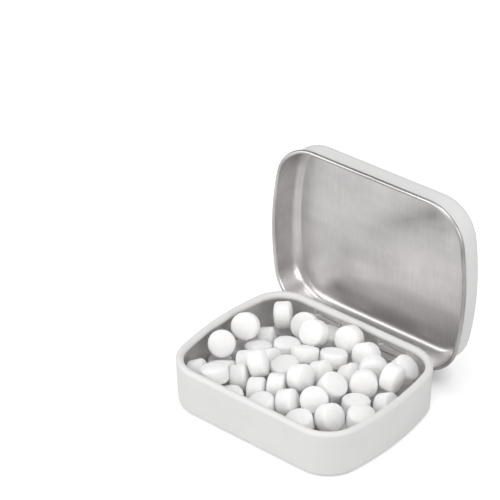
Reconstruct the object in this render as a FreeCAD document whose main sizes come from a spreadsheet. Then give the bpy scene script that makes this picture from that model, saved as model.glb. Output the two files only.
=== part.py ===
import FreeCAD, Part
import math
import os
import Sketcher
from FreeCAD import Rotation, Vector

# Hinged mint tin, standing open with its lid thrown back, half filled with loose mints.
# The origin is the middle of the underside, X runs along the length, the hinge is at +Y, Z is up.

SIZES = [
    # outline of the base at its rim: straight long sides, bowed short ends, round corners
    ("half_length", 28.7),
    ("half_depth", 22.35),
    ("corner_radius", 10.0),
    ("end_radius", 78.0),
    # sheet and base shell
    ("gauge", 0.25),
    ("base_height", 13.1),
    ("rim_radius", 1.0),
    ("wall_lean", 0.43),
    ("bottom_bend", 1.5),
    # lid shell, measured shut
    ("lid_gap", 0.38),
    ("lid_depth", 8.5),
    ("lid_lap", 4.85),
    ("lid_bend", 2.7),
    ("bead_radius", 0.54),
    ("lid_angle", 92.0),
    # hinge
    ("hinge_drop", 5.45),
    ("hinge_inset", 0.1),
    ("hinge_offset", 10.2),
    ("hinge_play", 0.13),
    ("tongue_width", 7.6),
    ("tongue_play", 0.3),
    ("tongue_proud", 0.15),
    ("tongue_nose", 0.2),
    ("window_top", 4.0),
    ("sill_drop", 7.65),
    ("sill_radius", 0.34),
    ("slit_width", 0.3),
    ("slit_top", 3.0),
    ("slit_low", 8.75),
    # catch at the front
    ("dimple_drop", 4.1),
    ("dimple_radius", 0.7),
    ("dimple_rise", 0.22),
    ("bump_width", 3.6),
    ("bump_rise", 0.17),
    # mints
    ("mint_radius", 3.5),
    ("mint_height", 4.6),
    ("dome_rise", 0.8),
    ("dome_run", 1.5),
    ("mint_play", 0.06),
    ("floor_play", 0.1),
]

# Each visible mint: place along the length and the depth as shares of the half sizes, height above
# the lower layer as a share of the mint height, lean of its axis from upright as a share of a
# quarter turn and heading of that lean as a share of a full turn from +X. A height below zero lets
# the mint sink that far between the lower ones, one above zero has it rest on its neighbours.
HEAP_SHARES = [
    (-0.82, 0.17, 0.20, 0.65, 0.82),
    (-0.83, -0.31, -0.25, 0.58, 0.87),
    (-0.63, -0.42, -0.50, 0.30, 0.36),
    (-0.74, -0.66, -0.20, 0.79, 0.09),
    (-0.59, -0.76, 0.40, 0.17, 0.42),
    (-0.40, -0.63, -0.20, 0.86, 0.09),
    (-0.30, -0.69, -0.10, 0.13, 0.67),
    (-0.27, -0.53, -0.20, 0.94, 0.08),
    (-0.14, -0.38, 0.10, 0.99, 0.08),
    (-0.42, -0.39, 0.30, 0.81, 0.10),
    (-0.54, -0.12, -0.30, 0.88, 0.09),
    (-0.60, 0.29, -0.80, 0.88, 0.09),
    (-0.56, 0.21, -0.30, 0.17, 0.36),
    (-0.64, 0.69, 0.20, 0.91, 0.09),
    (-0.38, 0.37, 0.00, 0.12, 0.26),
    (-0.38, -0.05, -0.30, 0.71, 0.03),
    (-0.24, -0.04, 0.40, 0.08, 0.73),
    (-0.02, -0.15, 0.50, 0.78, 0.01),
    (-0.05, -0.67, 0.10, 0.20, 0.67),
    (0.15, -0.54, 0.10, 0.81, 0.06),
    (-0.34, 0.64, 0.10, 0.64, 0.75),
    (-0.21, 0.81, -0.10, 0.20, 0.12),
    (-0.03, 0.69, 0.40, 0.75, 0.77),
    (0.29, 0.58, 0.20, 0.76, 0.74),
    (0.12, 0.33, 0.20, 0.18, 0.30),
    (-0.12, 0.29, 0.20, 0.30, 0.32),
    (0.13, 0.04, 0.00, 0.77, 0.05),
    (0.35, -0.07, 0.30, 0.38, 1.00),
    (0.30, 0.28, -0.30, 0.65, 0.06),
    (0.37, -0.39, 0.30, 0.61, 0.86),
    (0.43, -0.59, 0.20, 0.13, 0.67),
    (0.60, -0.45, 0.10, 0.66, 0.99),
    (0.50, 0.14, 0.20, 0.83, 0.85),
    (0.45, 0.48, 0.30, 0.94, 0.85),
    (0.66, 0.48, 0.30, 0.94, 0.52),
    (0.68, 0.80, 0.20, 0.46, 0.05),
    (0.66, 0.22, -0.40, 0.74, 0.03),
    (0.68, 0.05, 0.10, 0.10, 0.30),
    (0.76, -0.20, 0.40, 0.09, 0.02),
    (-0.42, 0.80, 0.00, 0.60, 0.80),
]

# How the heap is let settle: passes in all, quiet passes at the end, fall per pass as a share of
# the mint height, pull back towards the wanted place, how much of a sideways push also lifts, and
# the room kept under the shut lid as a share of the mint height.
SETTLE_PASSES = 400
QUIET_PASSES = 200
MEETING_PASSES = 12
FALL_SHARE = 0.02
HOLD_SHARE = 0.1
LIFT_SHARE = 0.5
HEADROOM_SHARE = 0.3

# The mints underneath: layers of them, and the step of the search for room as a share of the radius.
LOWER_LAYERS = 2
SEARCH_SHARE = 0.25

MINT_SIDES = 10
LOWER_MINT_SIDES = 6
UP = Vector(0, 0, 1)

doc = FreeCAD.newDocument("mint_tin")
sheet = doc.addObject("Spreadsheet::Sheet", "sizes")
for row, (name, size) in enumerate(SIZES, start=1):
    sheet.set("A%d" % row, name)
    sheet.set("B%d" % row, str(size))
    sheet.setAlias("B%d" % row, name)
doc.recompute()


ALIASES = {name for name, size in SIZES}


def bound(text):
    """Turns a sum written with bare size names into an expression on the sheet."""
    words = []
    word = ""
    for letter in text + " ":
        if letter.isalnum() or letter in "_.":
            word += letter
            continue
        words.append("sizes." + word if word in ALIASES else word)
        words.append(letter)
        word = ""
    return "".join(words).strip()


def number(text):
    """The present value of a sum written with size names."""
    result = sheet.evalExpression(bound(text))
    return float(getattr(result, "Value", result))


number_of = {name: number(name) for name in ALIASES}
number_of["half_height"] = number("mint_height / 2")


def origin_plane(body, role):
    for feature in body.Origin.OriginFeatures:
        if feature.Role == role:
            return feature


def new_sketch(body, name, role, out="0", lift="0"):
    """A sketch flat on one of the body's own planes, moved out along its normal and up in it."""
    sketch = body.newObject("Sketcher::SketchObject", name)
    sketch.AttachmentSupport = [(origin_plane(body, role), "")]
    sketch.MapMode = "FlatFace"
    sketch.setExpression("AttachmentOffset.Base.z", bound(out))
    sketch.setExpression("AttachmentOffset.Base.y", bound(lift))
    return sketch


def hold(sketch, constraint, name, text):
    """Adds a dimension and ties it to the sheet."""
    index = sketch.addConstraint(constraint)
    sketch.renameConstraint(index, name)
    sketch.setExpression("Constraints." + name, bound(text))


def polygon(body, name, role, corners, out="0", lift="0"):
    """A closed outline of straight edges, each corner held by two sums of sizes."""
    sketch = new_sketch(body, name, role, out, lift)
    points = [Vector(number(across), number(up), 0) for across, up in corners]
    count = len(points)
    for i in range(count):
        sketch.addGeometry(Part.LineSegment(points[i], points[(i + 1) % count]), False)
    for i in range(count):
        sketch.addConstraint(Sketcher.Constraint("Coincident", i, 2, (i + 1) % count, 1))
    for i, (across, up) in enumerate(corners):
        sideways = Sketcher.Constraint("DistanceX", -1, 1, i, 1, points[i].x)
        upright = Sketcher.Constraint("DistanceY", -1, 1, i, 1, points[i].y)
        hold(sketch, sideways, "across_%d" % i, across)
        hold(sketch, upright, "up_%d" % i, up)
    return sketch


def outline(body, name, inset, height):
    """The tin's outline in plan, drawn in by an inset: two lines and six arcs, all tangent."""
    sketch = new_sketch(body, name, "XY_Plane", height)
    half_length = number("half_length - (%s)" % inset)
    half_depth = number("half_depth - (%s)" % inset)
    corner = number("corner_radius - (%s)" % inset)
    end = number("end_radius - (%s)" % inset)
    end_x = half_length - end
    corner_y = half_depth - corner
    corner_x = end_x + math.sqrt((end - corner) ** 2 - corner_y ** 2)
    turn = math.atan2(corner_y, corner_x - end_x)
    quarter = math.pi / 2

    def arc(x, y, radius, start, stop):
        return Part.ArcOfCircle(Part.Circle(Vector(x, y, 0), UP, radius), start, stop)

    edges = [
        Part.LineSegment(Vector(-corner_x, -half_depth, 0), Vector(corner_x, -half_depth, 0)),
        arc(corner_x, -corner_y, corner, -quarter, -turn),
        arc(end_x, 0, end, -turn, turn),
        arc(corner_x, corner_y, corner, turn, quarter),
        Part.LineSegment(Vector(corner_x, half_depth, 0), Vector(-corner_x, half_depth, 0)),
        arc(-corner_x, corner_y, corner, quarter, math.pi - turn),
        arc(-end_x, 0, end, math.pi - turn, math.pi + turn),
        arc(-corner_x, -corner_y, corner, math.pi + turn, 3 * quarter),
    ]
    for edge in edges:
        sketch.addGeometry(edge, False)
    rule = Sketcher.Constraint
    for i in range(len(edges)):
        sketch.addConstraint(rule("Tangent", i, 2, (i + 1) % len(edges), 1))
    sketch.addConstraint(rule("Horizontal", 0))
    sketch.addConstraint(rule("Horizontal", 4))
    for i in (3, 5, 7):
        sketch.addConstraint(rule("Equal", 1, i))
    sketch.addConstraint(rule("Equal", 2, 6))
    sketch.addConstraint(rule("PointOnObject", 2, 3, -1))
    sketch.addConstraint(rule("PointOnObject", 6, 3, -1))
    hold(sketch, rule("Radius", 1, corner), "corner", "corner_radius - (%s)" % inset)
    hold(sketch, rule("Radius", 2, end), "ends", "end_radius - (%s)" % inset)
    hold(sketch, rule("DistanceY", 0, 1, -1, 1, half_depth), "front", "half_depth - (%s)" % inset)
    hold(sketch, rule("DistanceY", -1, 1, 4, 1, half_depth), "back", "half_depth - (%s)" % inset)
    hold(sketch, rule("DistanceX", 2, 3, -1, 1, -end_x), "right", "end_radius - half_length")
    hold(sketch, rule("DistanceX", -1, 1, 6, 3, -end_x), "left", "end_radius - half_length")
    return sketch


def bend(across, up, radius, angles):
    """Corners of a bend broken into flats, as sums round a centre."""
    corners = []
    for angle in angles:
        turned = "cos(%s)" % angle, "sin(%s)" % angle
        corners.append(("%s + (%s) * %s" % (across, radius, turned[0]),
                        "%s + (%s) * %s" % (up, radius, turned[1])))
    return corners


def sweep(body, name, section, path):
    pipe = body.newObject("PartDesign::AdditivePipe", name)
    pipe.Profile = section
    pipe.Spine = (path, [])
    return pipe


def pad(body, name, sketch, length):
    feature = body.newObject("PartDesign::Pad", name)
    feature.Profile = sketch
    feature.setExpression("Length", bound(length))
    return feature


def cut(body, name, sketch, depth, upward=False):
    feature = body.newObject("PartDesign::Pocket", name)
    feature.Profile = sketch
    feature.Reversed = upward
    feature.setExpression("Length", bound(depth))
    return feature


def box(middle, width, near, far):
    """Corners of a plain rectangle in plan."""
    left = "%s - (%s) / 2" % (middle, width)
    right = "%s + (%s) / 2" % (middle, width)
    return [(left, near), (right, near), (right, far), (left, far)]


def rod(body, name, middle, length, across, up, radius):
    """A round bar lying along X."""
    sketch = new_sketch(body, name + "_section", "YZ_Plane", "%s - (%s) / 2" % (middle, length))
    centre = Vector(number(across), number(up), 0)
    sketch.addGeometry(Part.Circle(centre, UP, number(radius)), False)
    rule = Sketcher.Constraint
    hold(sketch, rule("Radius", 0, number(radius)), "thickness", radius)
    hold(sketch, rule("DistanceX", -1, 1, 0, 3, centre.x), "across", across)
    hold(sketch, rule("DistanceY", -1, 1, 0, 3, centre.y), "up", up)
    return pad(body, name, sketch, length)


# Sums used in more than one place
HINGE_ACROSS = "(half_depth - hinge_inset)"
HINGE_UP = "(base_height - hinge_drop)"
SKIRT_INSIDE = "(half_depth + lid_gap)"
SKIRT_OUTSIDE = "(half_depth + lid_gap + gauge)"
LID_EDGE = "(base_height - lid_lap)"
BEAD_OUTSIDE = "(half_depth + lid_gap + 2 * bead_radius)"
HOOK_INSIDE = "(hinge_inset + lid_gap)"
WINDOW_WIDTH = "(tongue_width + 2 * tongue_play)"
LOWER_RADIUS = "(mint_radius - dome_rise * (1 - sqrt(2) / 2))"
LOWER_HEIGHT = "(mint_height - dome_rise * (2 - sqrt(2)))"
BED = "(gauge + %s + floor_play)" % LOWER_HEIGHT
SIDES = (("left", "-hinge_offset"), ("right", "hinge_offset"))


def base_shell():
    """Drawn base: floor, leaning wall and a rim rolled inwards, pierced at the back for the hinge."""
    body = doc.addObject("PartDesign::Body", "base_shell")
    rim = ("(half_depth - rim_radius)", "(base_height - rim_radius)")
    foot = ("(half_depth - wall_lean - bottom_bend)", "bottom_bend")
    roll = range(270, -1, -45)
    heel = range(0, -91, -45)
    outside = bend(*rim, "rim_radius", roll) + bend(*foot, "bottom_bend", heel)
    inside = bend(*rim, "rim_radius - gauge", roll[::2]) + bend(*foot, "bottom_bend - gauge", heel)
    section = polygon(body, "base_section", "YZ_Plane", outside + inside[::-1])
    path = outline(body, "base_path", "0", "0")
    sweep(body, "base_wall", section, path)
    pad(body, "base_floor", outline(body, "floor_outline", "wall_lean + bottom_bend", "0"), "gauge")
    hinge_windows(body)
    catch_dimple(body)
    return body


def hinge_windows(body):
    """Two windows through the back wall, each with slit sides, a hinge bar and a rolled sill."""
    near = "half_depth - wall_lean - 2 * gauge"
    far = "half_depth + gauge"
    for side, middle in SIDES:
        window = box(middle, WINDOW_WIDTH, near, far)
        opening = polygon(body, side + "_window", "XY_Plane", window, "base_height - window_top")
        cut(body, side + "_window_cut", opening, "sill_drop - window_top")
        for edge, sign in (("near", "-"), ("far", "+")):
            place = "%s %s (%s + slit_width) / 2" % (middle, sign, WINDOW_WIDTH)
            slit = box(place, "slit_width", near, far)
            name = "%s_%s_slit" % (side, edge)
            drawn = polygon(body, name, "XY_Plane", slit, "base_height - slit_top")
            cut(body, name + "_cut", drawn, "slit_low - slit_top")
        length = "%s + 4 * slit_width" % WINDOW_WIDTH
        bar = "%s - hinge_play" % HOOK_INSIDE
        rod(body, side + "_hinge_bar", middle, length, HINGE_ACROSS, HINGE_UP, bar)
        sill_across = "half_depth - gauge - wall_lean / 2"
        rod(body, side + "_sill", middle, length, sill_across, "base_height - sill_drop", "sill_radius")


def catch_dimple(body):
    """A shallow boss pressed outwards at the middle of the front wall, which the lid snaps over."""
    face = "-half_depth + wall_lean * (dimple_drop - rim_radius) / (base_height - rim_radius)"
    profile = [
        ("%s + gauge / 2" % face, "0"),
        ("%s + gauge / 2" % face, "dimple_radius"),
        (face, "dimple_radius"),
        ("%s - dimple_rise * 2 / 3" % face, "dimple_radius * 2 / 3"),
        ("%s - dimple_rise" % face, "dimple_radius / 4"),
        ("%s - dimple_rise" % face, "0"),
    ]
    lift = "base_height - dimple_drop"
    sketch = polygon(body, "dimple_profile", "YZ_Plane", profile, "0", lift)
    boss = body.newObject("PartDesign::Revolution", "catch_dimple")
    boss.Profile = sketch
    boss.ReferenceAxis = (sketch, ["H_Axis"])
    boss.Angle = 360


def lid_shell():
    """Drawn lid, built shut and then thrown back: panel, skirt, a bead rolled outwards, tongues."""
    body = doc.addObject("PartDesign::Body", "lid_shell")
    crown = ("(%s - lid_bend)" % SKIRT_OUTSIDE, "(%s + lid_depth - lid_bend)" % LID_EDGE)
    bead = ("(%s + bead_radius)" % SKIRT_INSIDE, "(%s + bead_radius)" % LID_EDGE)
    shoulder = range(90, -1, -30)
    tube = bend(*bead, "bead_radius", range(180, 451, 54))
    hollow = bend(*bead, "bead_radius - gauge", range(180, 451, 90))
    outside = bend(*crown, "lid_bend", shoulder) + hollow
    inside = bend(*crown, "lid_bend - gauge", shoulder) + tube
    section = polygon(body, "lid_section", "YZ_Plane", outside + inside[::-1])
    path = outline(body, "lid_path", "0", "0")
    sweep(body, "lid_skirt", section, path)
    panel = outline(body, "panel_outline", "lid_bend - lid_gap - gauge", "%s + lid_depth - gauge" % LID_EDGE)
    pad(body, "lid_panel", panel, "gauge")
    catch_bump(body)
    hinge_tongues(body)
    return body


def catch_bump(body):
    """A low swelling at the middle of the front bead, over the base's dimple."""
    low = "-%s + bead_radius" % BEAD_OUTSIDE
    corners = [
        ("bump_width / 2", low),
        ("bump_width / 2", "-%s" % BEAD_OUTSIDE),
        ("bump_width / 4", "-%s - bump_rise" % BEAD_OUTSIDE),
        ("-bump_width / 4", "-%s - bump_rise" % BEAD_OUTSIDE),
        ("-bump_width / 2", "-%s" % BEAD_OUTSIDE),
        ("-bump_width / 2", low),
    ]
    height = "%s + bead_radius / 2" % LID_EDGE
    pad(body, "catch_bump", polygon(body, "bump_outline", "XY_Plane", corners, height), "bead_radius")


def hinge_tongues(body):
    """Two tongues left standing in the skirt's edge. Each leans out past the bead, turns back in
    through its window and curls round the hinge bar."""
    hook_outside = "(%s + gauge)" % HOOK_INSIDE
    nose = "(%s + tongue_proud + tongue_nose)" % BEAD_OUTSIDE
    nose_up = "(%s - %s + %s - sqrt(2) * %s)" % (nose, HINGE_ACROSS, HINGE_UP, hook_outside)
    join = "(%s + %s - %s)" % (nose, nose_up, SKIRT_OUTSIDE)
    top = "(%s + gauge)" % join
    curl = range(-45, -226, -30)
    outer = [
        (SKIRT_OUTSIDE, top),
        (SKIRT_OUTSIDE, join),
        ("%s - tongue_nose" % nose, "%s + tongue_nose" % nose_up),
        ("%s - tongue_nose" % nose, "%s - tongue_nose" % nose_up),
    ] + bend(HINGE_ACROSS, HINGE_UP, hook_outside, curl)
    inner = [
        (SKIRT_INSIDE, top),
        (SKIRT_INSIDE, "%s - (sqrt(2) - 1) * gauge" % join),
        ("%s - sqrt(2) * gauge" % nose, nose_up),
    ] + bend(HINGE_ACROSS, HINGE_UP, HOOK_INSIDE, curl)
    for side, middle in SIDES:
        notch = box(middle, WINDOW_WIDTH, "half_depth", "%s + gauge" % BEAD_OUTSIDE)
        gap = polygon(body, side + "_notch", "XY_Plane", notch, LID_EDGE)
        cut(body, side + "_notch_cut", gap, "%s - %s" % (top, LID_EDGE), True)
        start = "%s - tongue_width / 2" % middle
        section = polygon(body, side + "_tongue_section", "YZ_Plane", outer + inner[::-1], start)
        pad(body, side + "_tongue", section, "tongue_width")


def throw_back(lid):
    """Turns the lid about the hinge bars from shut to open."""
    lid.Placement.Rotation = Rotation(Vector(-1, 0, 0), number("lid_angle"))
    lid.setExpression("Placement.Rotation.Angle", bound("lid_angle"))
    turned = (HINGE_ACROSS, HINGE_ACROSS, HINGE_UP)
    lid.setExpression("Placement.Base.y", bound("%s - %s * cos(lid_angle) - %s * sin(lid_angle)" % turned))
    turned = (HINGE_UP, HINGE_ACROSS, HINGE_UP)
    lid.setExpression("Placement.Base.z", bound("%s + %s * sin(lid_angle) - %s * cos(lid_angle)" % turned))


def mint():
    """One pressed mint lying flat about its own centre: a straight band between two low domes."""
    body = doc.addObject("PartDesign::Body", "mint")
    band = body.newObject("PartDesign::AdditivePrism", "mint_band")
    band.AttachmentSupport = [(origin_plane(body, "XY_Plane"), "")]
    band.MapMode = "FlatFace"
    band.Polygon = MINT_SIDES
    band.setExpression("Circumradius", bound("mint_radius"))
    band.setExpression("Height", bound("mint_height"))
    band.setExpression("AttachmentOffset.Base.z", bound("-mint_height / 2"))
    doc.recompute()
    rims = []
    for i, edge in enumerate(band.Shape.Edges, start=1):
        if edge.BoundBox.ZLength < edge.Length / 2:
            rims.append("Edge%d" % i)
    domes = body.newObject("PartDesign::Chamfer", "mint_domes")
    domes.Base = (band, rims)
    domes.ChamferType = "Two distances"
    domes.setExpression("Size", bound("dome_rise"))
    domes.setExpression("Size2", bound("dome_run"))
    return body


def laid_mint(name, pattern, spot, axis):
    """A copy of the pattern mint, turned to its axis and set at its place."""
    body = doc.addObject("PartDesign::Body", name)
    copy = doc.addObject("PartDesign::FeatureBase", name + "_copy")
    copy.BaseFeature = pattern
    body.Group = [copy]
    body.Tip = copy
    body.Placement.Rotation = Rotation(UP, axis)
    body.Placement.Base = Vector(*spot)
    return body


def lower_mints(spots, axes):
    """The mints under and between the visible ones, laid flat, layer on layer, wherever there is room."""
    laid = [(Vector(*spot), axis) for spot, axis in zip(spots, axes)]
    near = number("2 * mint_radius + mint_height / 2")
    step = number("mint_radius") * SEARCH_SHARE
    clear = number("gauge + wall_lean + mint_play")
    half_rows = int(number("half_depth") / step)
    half_columns = int(number("half_length") / step)
    pieces = []
    for layer in range(LOWER_LAYERS):
        middle = number("gauge + floor_play / 2 + (%d + 0.5) * (%s + mint_play)" % (layer, LOWER_HEIGHT))
        for row in range(-half_rows, half_rows + 1):
            for column in range(-half_columns, half_columns + 1):
                spot = [column * step, row * step, middle]
                keep_inside(spot, UP, clear)
                centre = Vector(*spot)
                close = [(other, axis) for other, axis in laid if (other - centre).Length < near]
                if any(shortfall(centre, UP, other, axis)[0] > 0 for other, axis in close):
                    continue
                laid.append((centre, UP))
                pieces.append(lower_mint("mint_under_%d" % len(pieces), centre))
    group = doc.addObject("Part::Compound", "mints_lower")
    group.Links = pieces
    return group


def lower_mint(name, centre):
    """A plainer mint for the places that are hidden, kept within the rounded shape of the others."""
    piece = doc.addObject("Part::Prism", name)
    piece.Polygon = LOWER_MINT_SIDES
    piece.setExpression("Circumradius", bound(LOWER_RADIUS))
    piece.setExpression("Height", bound(LOWER_HEIGHT))
    piece.Placement.Base = centre - UP * number("%s / 2" % LOWER_HEIGHT)
    return piece


def reach(axis, direction):
    """How far a mint reaches from its centre along a direction."""
    along = min(1, abs(axis.dot(direction)))
    return number_of["mint_radius"] * math.sqrt(1 - along * along) + number_of["half_height"] * along


def keep_inside(spot, axis, inset):
    """Pushes a mint's centre back so that it stays inside the outline drawn in by an inset."""
    half_length = number_of["half_length"] - inset
    half_depth = number_of["half_depth"] - inset
    corner = number_of["corner_radius"] - inset
    end = number_of["end_radius"] - inset
    end_x = half_length - end
    corner_y = half_depth - corner
    corner_x = end_x + math.sqrt((end - corner) ** 2 - corner_y ** 2)
    right = math.copysign(1, spot[0])
    back = math.copysign(1, spot[1])
    x = abs(spot[0])
    y = abs(spot[1])
    lean = Vector(axis.x * right, axis.y * back, axis.z)
    y = min(y, half_depth - reach(lean, Vector(0, 1, 0)))
    for centre_x, centre_y, radius in ((end_x, 0, end), (corner_x, corner_y, corner)):
        outward = Vector(x - centre_x, y - centre_y, 0)
        if centre_y and (outward.x <= 0 or outward.y <= 0):
            continue
        distance = outward.Length
        outward.normalize()
        over = distance + reach(lean, outward) - radius
        if over > 0:
            x -= over * outward.x
            y -= over * outward.y
    spot[0] = x * right
    spot[1] = y * back


def nearest(spot, axis, point):
    """The point of a mint's core, the mint less its rounding, that lies nearest to another point."""
    away = point - spot
    along = away.dot(axis)
    beside = away - axis * along
    radius = number_of["mint_radius"] - number_of["dome_rise"]
    half = number_of["half_height"] - number_of["dome_rise"]
    along = max(-half, min(half, along))
    if beside.Length > radius:
        beside = beside * (radius / beside.Length)
    return spot + axis * along + beside


def shortfall(one, first_axis, two, second_axis):
    """How much two mints lack of their play, and the way the second has to go."""
    meeting = (one + two) * 0.5
    for step in range(MEETING_PASSES):
        own = nearest(one, first_axis, meeting)
        meeting = nearest(two, second_axis, own)
    way = meeting - nearest(one, first_axis, meeting)
    lack = 2 * number_of["dome_rise"] + number_of["mint_play"] - way.Length
    if way.Length < number_of["mint_play"]:
        way = two - one
    return lack, way


def part_pair(first, second, first_axis, second_axis, lift):
    """Moves two mints apart when they are closer than their play."""
    lack, way = shortfall(Vector(*first), first_axis, Vector(*second), second_axis)
    if lack <= 0:
        return
    push = way * (lack / 2 / way.Length)
    for k, share in enumerate((1, 1, lift)):
        first[k] -= push[k] * share
        second[k] += push[k] * share


def settle():
    """Lets the visible mints fall on the lower layer and shoulder each other apart."""
    height = number("mint_height")
    bed = number(BED)
    ceiling = number("%s + lid_depth - gauge" % LID_EDGE) - HEADROOM_SHARE * height
    axes = []
    spots = []
    floors = []
    for x_share, y_share, rise_share, lean_share, heading_share in HEAP_SHARES:
        lean = lean_share * math.pi / 2
        heading = heading_share * 2 * math.pi
        axis = Vector(math.sin(lean) * math.cos(heading), math.sin(lean) * math.sin(heading), math.cos(lean))
        axes.append(axis)
        x = x_share * number("half_length")
        y = y_share * number("half_depth")
        spots.append([x, y, bed + reach(axis, UP) + rise_share * height])
        floors.append(bed + rise_share * height)
    places = [tuple(spot) for spot in spots]
    near = number("2 * mint_radius + mint_height / 2")
    rim_low = number("base_height - 2 * rim_radius - floor_play")
    wall_inset = number("gauge + wall_lean + floor_play")
    rim_inset = number("2 * rim_radius + floor_play")
    for step in range(SETTLE_PASSES):
        quiet = step >= SETTLE_PASSES - QUIET_PASSES
        if not quiet:
            for spot, place in zip(spots, places):
                spot[0] += HOLD_SHARE * (place[0] - spot[0])
                spot[1] += HOLD_SHARE * (place[1] - spot[1])
                spot[2] -= FALL_SHARE * height
        for i, first in enumerate(spots):
            for j in range(i + 1, len(spots)):
                second = spots[j]
                if abs(first[0] - second[0]) < near and abs(first[1] - second[1]) < near:
                    part_pair(first, second, axes[i], axes[j], 1 if quiet else LIFT_SHARE)
        for spot, axis, floor in zip(spots, axes, floors):
            tall = reach(axis, UP)
            keep_inside(spot, axis, rim_inset if spot[2] + tall > rim_low else wall_inset)
            spot[2] = max(floor + tall, min(ceiling - tall, spot[2]))
    return spots, axes


def write(objects):
    """Checks every shape and writes one file per piece."""
    faults = []
    for item in doc.Objects:
        if "Invalid" in item.State or "Error" in item.State:
            faults.append(item.Name)
    for item in objects:
        if item.Shape.isNull() or not item.Shape.isValid():
            faults.append(item.Label)
    if faults:
        raise ValueError("faulty: " + ", ".join(faults))
    os.makedirs("parts", exist_ok=True)
    for item in objects:
        item.Shape.exportStep("parts/%s.step" % item.Label)
        print(item.Label, len(item.Shape.Solids), round(item.Shape.Volume, 2))


base = base_shell()
lid = lid_shell()
doc.recompute()
throw_back(lid)
spots, axes = settle()
pieces = [base, lid, lower_mints(spots, axes)]
pattern = mint()
for i, (spot, axis) in enumerate(zip(spots, axes), start=1):
    pieces.append(laid_mint("mint_%02d" % i, pattern, spot, axis))
doc.recompute()
write(pieces)
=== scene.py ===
# %% [markdown]
# # A hinged mint tin with its lid thrown back
# The tin is two drawn shells of thin steel, white outside and bare inside, joined by two curled
# tongues at the back, and a heap of pressed mints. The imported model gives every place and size.
# This lesson lays smooth sheet metal and smooth mints over it, one small step at a time.

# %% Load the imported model
import math

import bmesh
import bpy
import numpy as np
from mathutils import Matrix, Vector


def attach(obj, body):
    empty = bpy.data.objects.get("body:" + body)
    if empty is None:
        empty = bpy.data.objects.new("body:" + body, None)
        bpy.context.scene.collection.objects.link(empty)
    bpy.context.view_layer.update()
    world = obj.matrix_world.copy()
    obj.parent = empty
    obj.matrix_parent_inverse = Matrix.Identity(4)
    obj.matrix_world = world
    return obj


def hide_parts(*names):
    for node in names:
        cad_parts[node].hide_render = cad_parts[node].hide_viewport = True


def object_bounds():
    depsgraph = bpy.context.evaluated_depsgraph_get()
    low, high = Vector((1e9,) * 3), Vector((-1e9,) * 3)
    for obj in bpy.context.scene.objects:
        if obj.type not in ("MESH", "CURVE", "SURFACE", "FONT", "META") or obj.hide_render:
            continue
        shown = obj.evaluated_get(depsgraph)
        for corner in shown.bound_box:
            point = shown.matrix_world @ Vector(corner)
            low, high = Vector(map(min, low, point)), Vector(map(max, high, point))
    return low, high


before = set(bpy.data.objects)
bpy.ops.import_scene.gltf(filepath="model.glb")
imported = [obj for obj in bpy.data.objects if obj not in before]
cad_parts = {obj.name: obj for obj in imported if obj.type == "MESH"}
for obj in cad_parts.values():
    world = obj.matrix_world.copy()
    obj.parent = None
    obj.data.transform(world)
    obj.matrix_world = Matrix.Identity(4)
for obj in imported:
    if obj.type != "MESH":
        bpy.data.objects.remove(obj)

MM = 0.001
cad_low, cad_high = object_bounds()
print("packed box in mm:", [round(v / MM, 2) for v in (*cad_low, *cad_high)])

# %% [markdown]
# ## The camera
# A product picture is taken with a long lens from some way off, so that the sides stay nearly
# parallel. The place and the turn of the camera could be tried by eye. Here they come from the
# known corners of the tin: a heading round it, a height angle, a small roll, and a place that is
# counted to the right, up and back in the camera's own directions.

# %% Camera
HEADING = math.radians(40.84)
HEIGHT_ANGLE = math.radians(32.42)
ROLL = -0.013
CAMERA_PLACE = Vector((-13.293, 37.621, 587.8)) * MM
SENSOR_WIDTH = 36
FOCAL_LENGTH = 171.63
NEAREST_SEEN = 10 * MM

back = Vector((
    math.sin(HEADING) * math.cos(HEIGHT_ANGLE),
    -math.cos(HEADING) * math.cos(HEIGHT_ANGLE),
    math.sin(HEIGHT_ANGLE),
))
level = Vector((math.cos(HEADING), math.sin(HEADING), 0))
turn = Matrix((level, back.cross(level), back)).transposed() @ Matrix.Rotation(ROLL, 3, "Z")
lens = bpy.data.cameras.new("camera")
lens.sensor_width = SENSOR_WIDTH
lens.lens = FOCAL_LENGTH
lens.clip_start = NEAREST_SEEN
camera = bpy.data.objects.new("camera", lens)
camera.matrix_world = Matrix.Translation(turn @ CAMERA_PLACE) @ turn.to_4x4()
bpy.context.scene.collection.objects.link(camera)
bpy.context.scene.camera = camera
bpy.context.scene.view_settings.view_transform = "Standard"
print("camera in mm:", [round(v / MM, 1) for v in camera.matrix_world.translation])

# %% [markdown]
# ## Finishes
# Three kinds of finish cover the object: white enamel, bare tinplate in three grades, and pressed
# mint. Each starts from the Principled shader, and noise textures on Object coordinates give it
# grain at its real scale. One helper makes the shader and one wires up a noise, stretched along a
# direction where the real surface has been rolled. The others turn a noise into colour, into a
# range of values or into a bump.

# %% Finish helpers
NOISE_LOW = 0.3
NOISE_HIGH = 0.7


def new_finish(name):
    finish = bpy.data.materials.new(name)
    finish.use_nodes = True
    return finish, finish.node_tree, finish.node_tree.nodes["Principled BSDF"]


def noise(tree, scale, detail=2.0, stretch=(1, 1, 1)):
    """A noise on Object coordinates, scale in grains to the metre."""
    place = tree.nodes.new("ShaderNodeTexCoord")
    mapping = tree.nodes.new("ShaderNodeMapping")
    mapping.inputs["Scale"].default_value = stretch
    grain = tree.nodes.new("ShaderNodeTexNoise")
    grain.inputs["Scale"].default_value = scale
    grain.inputs["Detail"].default_value = detail
    tree.links.new(place.outputs["Object"], mapping.inputs["Vector"])
    tree.links.new(mapping.outputs["Vector"], grain.inputs["Vector"])
    return grain.outputs["Fac"]


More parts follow.
